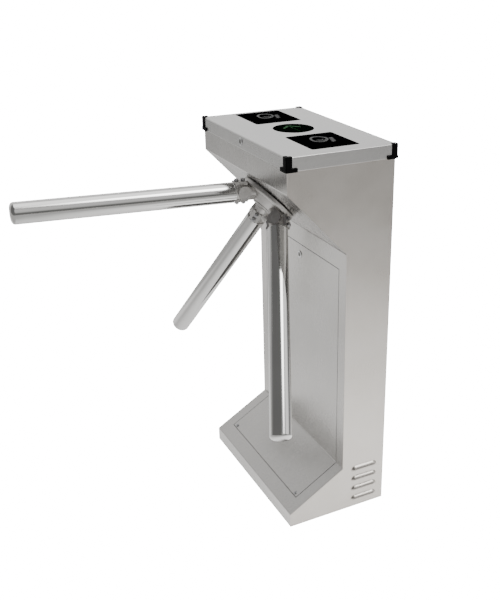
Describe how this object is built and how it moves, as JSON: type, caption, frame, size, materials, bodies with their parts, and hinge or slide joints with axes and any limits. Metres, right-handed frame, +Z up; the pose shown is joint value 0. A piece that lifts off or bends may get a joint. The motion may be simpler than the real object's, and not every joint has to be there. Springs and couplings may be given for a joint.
{
  "type": "tripod turnstile",
  "caption": "Tripod turnstile: a slim stainless cabinet with a recessed waist, black card windows in a hinged lid, and a slanted turning hub with three tubular arms.",
  "frame": {"origin": "on the floor at the centre of the four anchor holes, which is the centre of the cabinet's base", "axes": "+Z up, +X along the passage to the cabinet's right as seen from the arms, +Y to the cabinet's flat back; the arms are on the -Y side"},
  "size_m": [0.8057, 0.8288, 0.9815],
  "materials": {
    "brushed_sheet": "brushed",
    "lid_sheet": "brushed",
    "polished_steel": "polished",
    "hub_metal": "satin",
    "black_plastic": "matte",
    "black_panel": "gloss",
    "zinc_steel": "zinc plated",
    "machined_steel": "machined",
    "fastener_steel": "satin",
    "housing_iron": "painted",
    "solenoid_black": "satin",
    "circuit_board": "solder mask",
    "supply_case": "satin",
    "brass": "machined"
  },
  "bodies": {
    "cabinet": {"end_plate_left": "brushed_sheet", "end_plate_right": "brushed_sheet", "rear_panel": "brushed_sheet", "head_panel": "brushed_sheet", "door_frame": "brushed_sheet", "cover_rim": "brushed_sheet", "access_cover": "brushed_sheet", "cover_screws": "fastener_steel", "base_plate": "zinc_steel", "frame_rails": "zinc_steel", "mechanism_plate": "zinc_steel", "mechanism_bolts": "fastener_steel", "bearing_housing": "housing_iron", "shaft_bearings": "machined_steel", "pivot_posts": "machined_steel", "solenoids": "solenoid_black", "solenoid_brackets": "zinc_steel", "damper_bracket": "zinc_steel", "damper_body": "solenoid_black", "encoder_sensor": "black_plastic", "centring_spring": "machined_steel", "control_board": "circuit_board", "board_standoffs": "brass", "power_supply": "supply_case", "cabinet_hinge_leaf": "machined_steel", "hinge_pin": "machined_steel", "cover_lock_body": "fastener_steel"},
    "lid": {"top_lid": "lid_sheet", "corner_caps": "black_plastic", "reader_windows": "black_panel", "indicator_lens": "black_panel", "reader_modules": "black_plastic", "indicator_board": "circuit_board", "lid_lock_body": "fastener_steel", "lid_hinge_leaf": "machined_steel"},
    "lid_lock": {"lid_lock_plug": "brass"},
    "cover_lock": {"cover_lock_plug": "brass"},
    "tripod": {"hub_flange": "hub_metal", "hub_casting": "hub_metal", "hub_cap": "hub_metal", "hub_bolt": "fastener_steel", "arm_tube_1": "polished_steel", "arm_tube_2": "polished_steel", "arm_tube_3": "polished_steel", "arm_root_plugs": "polished_steel", "arm_bolts": "fastener_steel", "arm_tip_caps": "polished_steel", "main_shaft": "machined_steel", "locking_disc": "machined_steel", "pin_wheel": "machined_steel", "encoder_disc": "machined_steel", "drive_gear": "brass", "shaft_nut": "fastener_steel"},
    "entry_pawl": {"pawl_entry": "machined_steel"},
    "exit_pawl": {"pawl_exit": "machined_steel"},
    "entry_plunger": {"plunger_entry": "machined_steel"},
    "exit_plunger": {"plunger_exit": "machined_steel"},
    "lever": {"centring_lever": "machined_steel"},
    "roller": {"centring_roller": "machined_steel"},
    "damper_shaft": {"damper_pinion": "brass"}
  },
  "joints": [
    {"name": "hub_spin", "type": "hinge", "parent": "cabinet", "child": "tripod", "pos_m": [0, -0.06867, 0.81831], "axis": [0, -0.7278, -0.6858], "continuous": true},
    {"name": "damper_spin", "type": "hinge", "parent": "cabinet", "child": "damper_shaft", "pos_m": [0, 0.06332, 0.87654], "axis": [0, -0.7278, -0.6858], "continuous": true},
    {"name": "entry_pawl_swing", "type": "hinge", "parent": "cabinet", "child": "entry_pawl", "pos_m": [0.05, -0.03541, 0.91424], "axis": [0, 0.7278, 0.6858], "range_deg": [0, 9], "stiffness_Nm_per_rad": 0.5, "springref_deg": -11.46},
    {"name": "exit_pawl_swing", "type": "hinge", "parent": "cabinet", "child": "exit_pawl", "pos_m": [-0.05, -0.03541, 0.91424], "axis": [0, -0.7278, -0.6858], "range_deg": [0, 9], "stiffness_Nm_per_rad": 0.5, "springref_deg": -11.46},
    {"name": "entry_plunger_slide", "type": "slide", "parent": "cabinet", "child": "entry_plunger", "axis": [-1, 0, 0], "range_m": [0, 0.00968]},
    {"name": "exit_plunger_slide", "type": "slide", "parent": "cabinet", "child": "exit_plunger", "axis": [1, 0, 0], "range_m": [0, 0.00968]},
    {"name": "lever_swing", "type": "hinge", "parent": "cabinet", "child": "lever", "pos_m": [-0.095, -0.00728, 0.93251], "axis": [0, -0.7278, -0.6858], "range_deg": [-10.5, 0], "stiffness_Nm_per_rad": 0.8, "springref_deg": 14.32},
    {"name": "roller_spin", "type": "hinge", "parent": "lever", "child": "roller", "pos_m": [0, -0.01813, 0.93382], "axis": [0, -0.7278, -0.6858], "continuous": true},
    {"name": "lid_lift", "type": "hinge", "parent": "cabinet", "child": "lid", "pos_m": [0, 0.1432, 0.9751], "axis": [-1, 0, 0], "range_deg": [0, 100]},
    {"name": "lid_lock_turn", "type": "hinge", "parent": "lid", "child": "lid_lock", "pos_m": [0, -0.1423, 0.965], "axis": [0, -1, 0], "range_deg": [0, 90]},
    {"name": "cover_lock_turn", "type": "hinge", "parent": "cabinet", "child": "cover_lock", "pos_m": [0, 0.015, 0.65152], "axis": [0, 1, 0], "range_deg": [0, 90]}
  ],
  "couplings": [
    {"joint": "damper_spin", "follows": "hub_spin", "ratio": -3},
    {"joint": "entry_plunger_slide", "follows": "entry_pawl_swing", "m_per_rad": 0.06164},
    {"joint": "exit_plunger_slide", "follows": "exit_pawl_swing", "m_per_rad": 0.06164}
  ]
}
